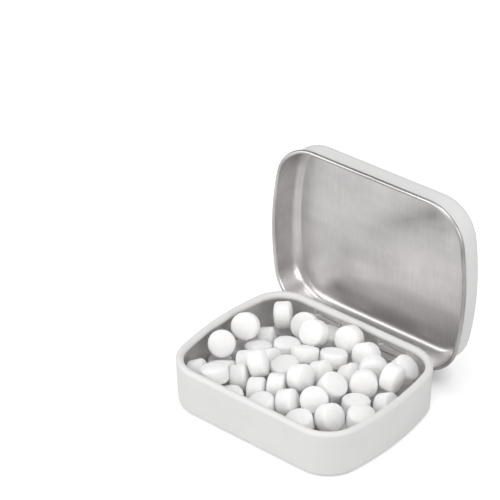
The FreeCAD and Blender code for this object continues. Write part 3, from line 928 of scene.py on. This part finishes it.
def spots_of(node):
    """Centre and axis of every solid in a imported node."""
    solids = bmesh.new()
    solids.from_mesh(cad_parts[node].data)
    bmesh.ops.remove_doubles(solids, verts=solids.verts, dist=WELD)
    waiting = set(solids.verts)
    spots = []
    while waiting:
        found = joined_to(waiting.pop())
        waiting -= found
        corners = np.array(sorted(tuple(vert.co) for vert in found))
        centre = (corners.min(0) + corners.max(0)) / 2
        spreads, directions = np.linalg.eigh(np.cov((corners - centre).T))
        spots.append((Vector(centre), Vector(directions[:, 0])))
    solids.free()
    return spots


mint_nodes = [node for node in sorted(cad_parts) if node.startswith("mint")]
print("nodes of mints:", len(mint_nodes))

# %% [markdown]
# ## The heap
# A smooth mint is laid at every place that was found. The hidden mints at the bottom share one
# node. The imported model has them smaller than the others, so they are drawn smaller here too, and
# stay clear of the floor.

# %% The heap
LOWER_SHARE = 0.895


def lay_mints(name, node):
    heap = bmesh.new()
    for centre, axis in spots_of(node):
        tablet = mint_shape(LOWER_SHARE if node == "mints_lower" else 1.0)
        turn_to = Vector((0, 0, 1)).rotation_difference(axis).to_matrix().to_4x4()
        place = Matrix.Translation(centre) @ turn_to
        bmesh.ops.transform(tablet, matrix=place, verts=tablet.verts)
        laid = bpy.data.meshes.new("laid")
        tablet.to_mesh(laid)
        tablet.free()
        heap.from_mesh(laid)
        bpy.data.meshes.remove(laid)
    make_piece(name, heap, "base", [pressed_mint], [node])


for node in mint_nodes:
    lay_mints("smooth_" + node, node)

# %% [markdown]
# ## The paper
# The tin stands on white paper. The paper is lifted to pure white for the camera only, so that it
# keeps the tin's shadow and sends no extra light onto the tin. Under the open lid the lift fades
# out in an oval, so that the hinge windows look into the dark.

# %% Paper
PAPER_TONE = 0.74
PAPER_LIFT = 0.4
UNDER_LID_PLACE = (0, 30 * MM, 0)
UNDER_LID_HALF = (23 * MM, 10 * MM, 1)
FADE = 0.3
PAPER_HALF = 4.0
PAPER_DROP = 0.02 * MM

paper, tree, shader = new_finish("paper")
shader.inputs["Base Color"].default_value = (*grey(PAPER_TONE), 1)
shader.inputs["Roughness"].default_value = 0.9
shader.inputs["Specular IOR Level"].default_value = 0.1
shader.inputs["Emission Color"].default_value = (1, 1, 1, 1)
place = tree.nodes.new("ShaderNodeTexCoord")
under_lid = tree.nodes.new("ShaderNodeMapping")
under_lid.vector_type = "TEXTURE"
under_lid.inputs["Location"].default_value = UNDER_LID_PLACE
under_lid.inputs["Scale"].default_value = UNDER_LID_HALF
tree.links.new(place.outputs["Object"], under_lid.inputs["Vector"])
oval = tree.nodes.new("ShaderNodeTexGradient")
oval.gradient_type = "SPHERICAL"
tree.links.new(under_lid.outputs["Vector"], oval.inputs["Vector"])
fade = tree.nodes.new("ShaderNodeMapRange")
fade.inputs["From Max"].default_value = FADE
fade.inputs["To Min"].default_value = PAPER_LIFT
fade.inputs["To Max"].default_value = 0.0
tree.links.new(oval.outputs["Fac"], fade.inputs["Value"])
path = tree.nodes.new("ShaderNodeLightPath")
lift = tree.nodes.new("ShaderNodeMath")
lift.operation = "MULTIPLY"
tree.links.new(path.outputs["Is Camera Ray"], lift.inputs[0])
tree.links.new(fade.outputs["Result"], lift.inputs[1])
tree.links.new(lift.outputs["Value"], shader.inputs["Emission Strength"])

ground = bmesh.new()
bmesh.ops.create_grid(ground, x_segments=1, y_segments=1, size=PAPER_HALF)
bmesh.ops.translate(ground, vec=(0, 0, cad_low.z - PAPER_DROP), verts=ground.verts)
ground_mesh = bpy.data.meshes.new("paper_floor")
ground.to_mesh(ground_mesh)
ground.free()
ground_mesh.materials.append(paper)
paper_floor = bpy.data.objects.new("paper_floor", ground_mesh)
bpy.context.scene.collection.objects.link(paper_floor)
print("paper laid")

# %% [markdown]
# ## The light
# The light is soft and comes mostly from a lamp low on the left. One lamp overhead fills the mints'
# tops and a weaker one on the right keeps the far end from going grey. The room around is dim,
# which gives the bare metal something dark to mirror.

# %% Light
ROOM_STRENGTH = 0.42
tin_middle = (cad_low + cad_high) / 2


def soft_lamp(name, place, size, power):
    """A square lamp that looks at the tin: place and size in metres, power in watts."""
    data = bpy.data.lights.new(name, "AREA")
    data.shape = "SQUARE"
    data.size = size
    data.energy = power
    lamp = bpy.data.objects.new(name, data)
    lamp.location = place
    lamp.rotation_euler = (tin_middle - Vector(place)).to_track_quat("-Z", "Y").to_euler()
    bpy.context.scene.collection.objects.link(lamp)
    print("lamp:", name, power, "W")


soft_lamp("left_lamp", place=(-0.56, -0.82, 0.36), size=0.9, power=6.2)
soft_lamp("top_lamp", place=(0.2, -0.1, 1.0), size=0.7, power=5.0)
soft_lamp("right_lamp", place=(0.9, -0.2, 0.4), size=0.4, power=2.6)
room = bpy.data.worlds.new("grey_room")
room.use_nodes = True
bpy.context.scene.world = room
walls = room.node_tree.nodes["Background"]
walls.inputs["Color"].default_value = (1, 1, 1, 1)
walls.inputs["Strength"].default_value = ROOM_STRENGTH
